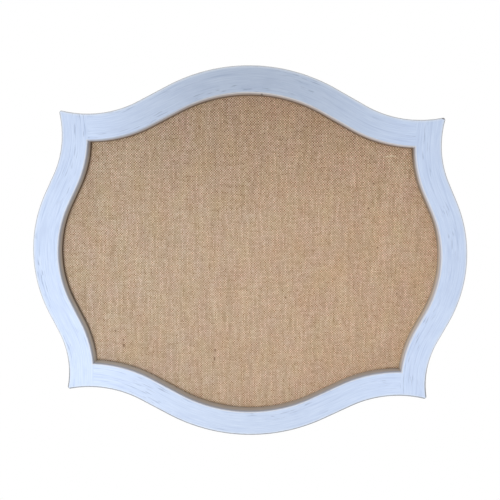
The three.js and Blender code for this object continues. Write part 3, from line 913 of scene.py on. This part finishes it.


def lay_out_strokes(mesh, lead, other, upright, rail_shade, offset):
    """Maps brush strokes and grain on to a member, and notes how far in each point is and how much painted
    shade it takes.
    """
    strokes = mesh.loops.layers.uv.new("strokes")
    grain = mesh.loops.layers.uv.new("grain")
    inset_layer = mesh.verts.layers.float.new("inset")
    # The 'dull' attribute holds painted shade, darkest in the middle of a rail
    rail_shade_layer = mesh.verts.layers.float.new("dull")
    for vert in mesh.verts:
        vert[inset_layer] = max(inset_at(vert.co), 0)
        vert[rail_shade_layer] = rail_shade * max(1 - (vert.co.x / rail_shade_reach) ** 2, 0)

    def places(co):
        x, z = abs(co.x), abs(co.z)
        own = lead.place(z, x) if upright else lead.place(x, z)
        side = other.place(x, z) if upright else other.place(z, x)
        return own, side

    for face in mesh.faces:
        own, side = places(face.calc_center_median())
        on_side_wall = abs(face.normal.y) < 0.7 and side[1] < own[1] and side[1] < front_arris
        for loop in face.loops:
            co = loop.vert.co
            own, side = places(co)
            along, inset = side if on_side_wall else own
            hand = co.x if upright == on_side_wall else co.z
            depth = co.y - front_y
            across = inset + depth if inset > face_width / 2 else inset - depth
            loop[strokes].uv = (along if hand > 0 else -along, across + offset)
            straight, level = (co.z, co.x) if upright else (co.x, co.z)
            loop[grain].uv = (straight + offset, level + depth)


def add_member(name, is_stile, hand, offset, rail_shade=0.0):
    """Adds a rail or a stile on one side of the board, with strokes of its own from an offset."""
    if is_stile:
        mesh = quarter_cut_at(joint_x + joint_hairline / 2, keep_rail=False)
        mirrored(mesh, "Z")
        flip = (hand, 1, 1)
        lead, other = cheek, crown
    else:
        mesh = quarter_cut_at(joint_x - joint_hairline / 2, keep_rail=True)
        mirrored(mesh, "X")
        flip = (1, 1, hand)
        lead, other = crown, cheek
    bmesh.ops.scale(mesh, vec=flip, verts=mesh.verts[:])
    face_outwards(mesh)
    lay_out_strokes(mesh, lead, other, is_stile, rail_shade, offset)
    in_place_of(mesh, name, "painted_wood")


add_member("left_stile", True, -1, offset=1.3)
add_member("right_stile", True, 1, offset=2.9)
add_member("top_rail", False, 1, offset=4.1, rail_shade=1.0)
add_member("bottom_rail", False, -1, offset=5.7, rail_shade=0.56)

# The burlap, drawn tight over the pin board and turned over its edge to a hem behind

cloth_thickness = 1 * MM
cloth_inset = half_width - cloth_high[0]
cloth_ease = 2.2 * MM  # how round it turns at the pin board's edge
ease_steps = 4
hem_width = 27.3 * MM
cloth_rings = 22
wave_height = 0.5 * MM  # how far it stands off in soft waves
wave_margin = 40 * MM  # how far in from the frame the waves have their full height
broad_waves = 9
small_waves = 21
face_slack = 0.1 * MM  # how far behind its front a point may be and still lie on the cloth's face


def cloth_section():
    """From the hem's free edge, round the pin board's edge and on to its face."""
    front = cloth_low[1]
    back = cloth_high[1]
    points = [(cloth_inset + hem_width, back)]
    for centre_y, start in ((back - cloth_ease, 0), (front + cloth_ease, pi / 2)):
        for i in range(ease_steps + 1):
            angle = start + pi / 2 * i / ease_steps
            inset = cloth_inset + cloth_ease * (1 - sin(angle))
            points.append((inset, centre_y + cloth_ease * cos(angle)))
    points.append((face_width - sight_arris, front))
    points.append((face_width + sight_arris, front))
    return points


def wave_at(co, inset):
    """How far the cloth's face stands off at a place."""
    fade = min((inset - face_width) / wave_margin, 1)
    wave = noise.noise(co * broad_waves) + 0.5 * noise.noise(co * small_waves)
    return wave_height * fade * max(wave + 0.3, 0)


def add_cloth():
    mesh = bmesh.new()
    rim = lofted_quarter(mesh, cloth_section(), closed=False)[-1]
    for left in range(cloth_rings, 0, -1):
        rim = open_edges(bmesh.ops.extrude_edge_only(mesh, edges=rim))
        share = (left - 1) / left
        bmesh.ops.scale(mesh, vec=(share, 1, share), verts=ends_of(rim))
    welded(mesh, 10 * weld)
    mirrored(mesh, "X")
    mirrored(mesh, "Z")
    inset_layer = mesh.verts.layers.float.new("inset")
    for vert in mesh.verts:
        inset = inset_at(vert.co)
        vert[inset_layer] = inset
        if vert.co.y < cloth_low[1] + face_slack and inset > face_width:
            vert.co.y -= wave_at(vert.co, inset)
    middle = min(mesh.faces, key=lambda face: face.calc_center_median().xz.length)
    faced(mesh, middle, (0, -1, 0))
    cloth_area = sum(face.calc_area() for face in mesh.faces)
    bmesh.ops.solidify(mesh, geom=mesh.faces[:], thickness=cloth_thickness)
    piece = in_place_of(mesh, "burlap_cover", "burlap")


add_cloth()

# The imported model's own panels, dowels and framer's points keep their shape

for part in frame["record"]["subparts"]:
    node = frame["nodes"][part["node"]]
    node.data.materials.clear()
    node.data.materials.append(finishes[part["material_slot"]])

# Hangers: a strap with a rolled loop, a ring through the loop, and two screws

loop_inner = 1.5 * MM
strap_thickness = 1 * MM
loop_outer = loop_inner + strap_thickness
strap_width = strap_high[0] - strap_low[0]
strap_length = strap_high[2] - strap_low[2] - loop_outer
strap_arris = 0.15 * MM
hinge = Vector(((strap_low[0] + strap_high[0]) / 2, strap_high[1] - loop_outer, strap_high[2] - loop_outer))
roll_turn = radians(300)  # how far the strap's top is rolled round the ring's wire
wire_radius = 1.2 * MM
ring_corner_radius = 3 * MM
ring_half_width = (ring_high[0] - ring_low[0]) / 2 - wire_radius
ring_bow_z = ring_low[2] + wire_radius + ring_half_width - hinge.z
screw_hole_radius = 1.9 * MM
screw_head_radius = 3.4 * MM
screw_head_height = 1.9 * MM
screw_head_side = 0.9 * MM
screw_head_edge = 0.4 * MM
screw_top_radius = 2.5 * MM
screw_radius = 1.6 * MM
screw_core_radius = 1.1 * MM
screw_length = 15 * MM
screw_tip = 3 * MM
screw_shoulder = 2 * MM
thread_rise = 1.1 * MM
thread_turns = 9
thread_steps = 14
recess_width = 0.9 * MM
recess_span = 3.6 * MM
recess_depth = 1.1 * MM
recess_taper = 0.7


def softened(mesh, edges, offset, segments):
    bmesh.ops.bevel(
        mesh,
        geom=edges,
        offset=offset,
        segments=segments,
        profile=0.5,
        affect="EDGES",
        material=-1,
    )


def turned(mesh, profile):
    """Spins a profile of radii and places along the depth axis a full turn."""
    verts = [mesh.verts.new((radius, y, 0)) for radius, y in profile]
    edges = [mesh.edges.new(pair) for pair in zip(verts, verts[1:])]
    spun(mesh, verts + edges, (0, 0, 0), tau, turned_sides, use_merge=True)
    welded(mesh)


def rings_at(mesh, y):
    """The edges that lie round a turned shape at one place along it."""
    return [edge for edge in mesh.edges if all(abs(vert.co.y - y) < weld for vert in edge.verts)]


def strap(screw_drops):
    """A strap with a round end, bored for its screws, and its top rolled to a loop about zero."""
    mesh = bmesh.new()
    half = strap_width / 2
    pen = Pen(mesh, -half, -loop_inner, 0)
    corner = pen.end
    pen.go(0, half - strap_length)
    pen.turn(Vector((0, half - strap_length)), -pi, wire_sides)
    pen.go(0, strap_length - half)
    top = mesh.edges.new((pen.end, corner))
    rims = pen.path + [top]
    for drop in screw_drops:
        known = len(mesh.edges)
        place = Matrix.Translation((0, -loop_inner, -drop)) @ Matrix.Rotation(pi / 2, 4, "X")
        bmesh.ops.create_circle(mesh, segments=wire_sides, radius=screw_hole_radius, matrix=place)
        rims += list(mesh.edges)[known:]
    bmesh.ops.triangle_fill(mesh, use_beauty=True, edges=rims)
    rolled = [*top.verts, top]
    bmesh.ops.spin(mesh, geom=rolled, cent=(0, 0, 0), axis=(1, 0, 0), angle=-roll_turn, steps=turned_sides)
    faced(mesh, min(mesh.faces, key=lambda face: face.calc_center_median().z), (0, 1, 0))
    bmesh.ops.solidify(mesh, geom=mesh.faces[:], thickness=strap_thickness)
    rims = [edge for edge in mesh.edges if edge.calc_face_angle(0) > radians(60)]
    softened(mesh, rims, strap_arris, strap_arris_steps)
    return mesh


def wire_on(mesh, rim, x, z):
    """Draws a ring of wire's edges straight on."""
    grown = bmesh.ops.extrude_edge_only(mesh, edges=rim)
    bmesh.ops.translate(mesh, vec=(x, 0, z), verts=verts_of(grown))
    return open_edges(grown)


def wire_round(mesh, rim, x, z, steps):
    """Bends a ring of wire's edges a quarter turn."""
    return edges_of(spun(mesh, ends_of(rim) + rim, (x, 0, z), pi / 2, steps), "geom_last")


def ring():
    """A D of round wire, with the middle of its straight side at zero."""
    mesh = bmesh.new()
    upright = Matrix.Rotation(pi / 2, 4, "Y")
    bmesh.ops.create_circle(mesh, segments=wire_sides, radius=wire_radius, matrix=upright)
    corner_x = ring_half_width - ring_corner_radius
    rim = wire_on(mesh, mesh.edges[:], corner_x, 0)
    rim = wire_round(mesh, rim, corner_x, -ring_corner_radius, wire_sides)
    rim = wire_on(mesh, rim, 0, ring_bow_z + ring_corner_radius)
    wire_round(mesh, rim, 0, ring_bow_z, turned_sides)
    mirrored(mesh, "X")
    return mesh


def draw_cross(mesh):
    """Draws the outline of the cross recess in a screw's head."""
    half = recess_width / 2
    arm = recess_span / 2 - half
    pen = Pen(mesh, half, screw_head_height, half)
    ahead, aside = Vector((0, 1)), Vector((-1, 0))
    for _ in range(4):
        pen.go(*(ahead * arm))
        pen.go(*(aside * recess_width))
        pen.go(*(ahead * -arm))
        ahead, aside = aside, -ahead


def screw():
    """A pan-head screw with its seat at zero and its head towards the wall."""
    mesh = bmesh.new()
    profile = [
        (0, -screw_length),
        (screw_core_radius, screw_tip - screw_length),
        (screw_core_radius, -screw_shoulder),
        (screw_radius, -screw_shoulder),
        (screw_radius, 0),
        (screw_head_radius, 0),
        (screw_head_radius, screw_head_side),
        (screw_top_radius, screw_head_height),
    ]
    turned(mesh, profile)
    softened(mesh, rings_at(mesh, screw_head_side), screw_head_edge, screw_head_steps)
    draw_cross(mesh)
    welded(mesh)
    top = [edge for edge in mesh.edges if len(edge.link_faces) < 2]
    recess = [edge for edge in top if not edge.link_faces]
    bmesh.ops.triangle_fill(mesh, use_beauty=True, edges=top)
    sunk = bmesh.ops.extrude_edge_only(mesh, edges=recess)
    floor = verts_of(sunk)
    bmesh.ops.scale(mesh, vec=(recess_taper, 1, recess_taper), verts=floor)
    bmesh.ops.translate(mesh, vec=(0, -recess_depth, 0), verts=floor)
    bmesh.ops.holes_fill(mesh, edges=[edge for edge in mesh.edges if len(edge.link_faces) == 1], sides=0)
    face_outwards(mesh)
    add_thread(mesh)
    return mesh


def add_thread(mesh):
    """A ridge wound on the screw's core."""
    known = len(mesh.faces)
    start = -screw_shoulder - thread_rise / 2
    bmesh.ops.create_circle(
        mesh,
        cap_ends=True,
        segments=3,
        radius=screw_radius - screw_core_radius,
        matrix=Matrix.Translation((screw_core_radius, start, 0)) @ Matrix.Rotation(-pi / 2, 4, "Z"),
    )
    ridge = list(mesh.faces)[known]
    geom = [ridge, *ridge.edges, *ridge.verts]
    down = (0, -thread_rise / thread_steps, 0)
    spun(mesh, geom, (0, 0, 0), tau * thread_turns, thread_turns * thread_steps, dvec=down)
    bmesh.ops.recalc_face_normals(mesh, faces=list(mesh.faces)[known:])


def set_at(mesh, place):
    bmesh.ops.translate(mesh, vec=place, verts=mesh.verts[:])
    return mesh


def add_hangers():
    for side, hand in (("left", -1), ("right", 1)):
        place = Vector((hinge.x * hand, hinge.y, hinge.z))
        seats = [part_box(f"{side}_hanger_{level}_screw") for level in ("upper", "lower")]
        heights = [(low[2] + high[2]) / 2 for low, high in seats]
        loop_and_tongue = strap([hinge.z - height for height in heights])
        in_place_of(set_at(loop_and_tongue, place), f"{side}_hanger_strap", "zinc_steel")
        in_place_of(set_at(ring(), place), f"{side}_hanger_ring", "zinc_steel", body=f"{side}_ring")
        for level, (low, high), height in zip(("upper", "lower"), seats, heights):
            seat = Vector((place.x, high[1] - screw_head_height, height))
            in_place_of(set_at(screw(), seat), f"{side}_hanger_{level}_screw", "zinc_steel")


add_hangers()

# Rubber bumpers behind the lower horns

bumper_edge = 1.5 * MM
bumper_seat_edge = 0.3 * MM


def on_rim(edge, radius):
    return all(hypot(vert.co.x, vert.co.z) > radius - weld for vert in edge.verts)


def add_bumpers():
    for side in ("left", "right"):
        low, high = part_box(f"{side}_wall_bumper")
        radius = (high[0] - low[0]) / 2
        mesh = bmesh.new()
        turned(mesh, [(0, low[1]), (radius, low[1]), (radius, high[1]), (0, high[1])])
        free_end = (high[1], bumper_edge, bumper_steps)
        seated_end = (low[1], bumper_seat_edge, bumper_seat_steps)
        for y, edge_radius, segments in (free_end, seated_end):
            rim = [edge for edge in rings_at(mesh, y) if on_rim(edge, radius)]
            softened(mesh, rim, edge_radius, segments)
        face_outwards(mesh)
        set_at(mesh, ((low[0] + high[0]) / 2, 0, (low[2] + high[2]) / 2))
        in_place_of(mesh, f"{side}_wall_bumper", "rubber")


add_bumpers()

# Floor, light and camera

floor_drop = 1.15
floor_reach = 14
white = (1, 1, 1, 1)
camera_place = (0.0384, -0.7677, 0.0919)
camera_turn = (radians(83.93), radians(-1.256), radians(0.943))
camera_lens = 28.8
camera_shift = (-0.0276, 0.0036)


def add_floor():
    mesh = bmesh.new()
    bmesh.ops.create_grid(mesh, x_segments=8, y_segments=8, size=floor_reach)
    bmesh.ops.translate(mesh, vec=(0, 0, -floor_drop), verts=mesh.verts[:])
    f = Finish("studio_floor", Base_Color="F4F4F2", Roughness=0.9, Specular_IOR_Level=0.1)
    glow = f.add("Emission", [("Color", white), ("Strength", 1.0)])
    away = f.vectors("LENGTH", f.place(), out="Value")
    share = f.times(f.seen_by_camera(), f.rise(away, 1.2, 1.4, 0.6, 1.0))
    mixed = f.add("MixShader", [(0, share), (1, f.shader.outputs[0]), (2, glow)])
    f.tree.links.new(mixed, f.tree.nodes["Material Output"].inputs["Surface"])
    floor = object_of(mesh, "studio_floor", f.material)


def add_lamp(name, place, target, size, power):
    lamp = bpy.data.lights.new(name, "AREA")
    lamp.shape = "DISK"
    lamp.size = size
    lamp.energy = power
    holder = put_in(name, lamp)
    holder.location = place
    holder.rotation_euler = (Vector(target) - Vector(place)).to_track_quat("-Z", "Y").to_euler()


def add_world():
    """Soft even light, and plain white where the camera looks."""
    world = bpy.data.worlds.new("studio")
    bpy.context.scene.world = world
    world.use_nodes = True
    world.node_tree.nodes.clear()
    sky = Pattern(world.node_tree)
    soft = sky.add("Background", [("Color", white), ("Strength", 0.5)])
    plain = sky.add("Background", [("Color", white), ("Strength", 1.0)])
    mixed = sky.add("MixShader", [(0, sky.seen_by_camera()), (1, soft), (2, plain)])
    surface = world.node_tree.nodes.new("ShaderNodeOutputWorld").inputs["Surface"]
    sky.feed(surface, mixed)


def add_camera():
    lens = bpy.data.cameras.new("photo_view")
    lens.lens = camera_lens
    lens.shift_x, lens.shift_y = camera_shift
    camera = put_in("photo_view", lens)
    camera.location = camera_place
    camera.rotation_euler = camera_turn
    bpy.context.scene.camera = camera


add_floor()
add_lamp("key", (-0.28, -1.4, -0.40), (0, 0, -0.05), size=0.5, power=12.6)
add_lamp("overhead", (0.0, 0.3, 2.6), (0, 0, -1), size=3.0, power=40)
add_world()
add_camera()
bpy.context.scene.view_settings.view_transform = "Standard"
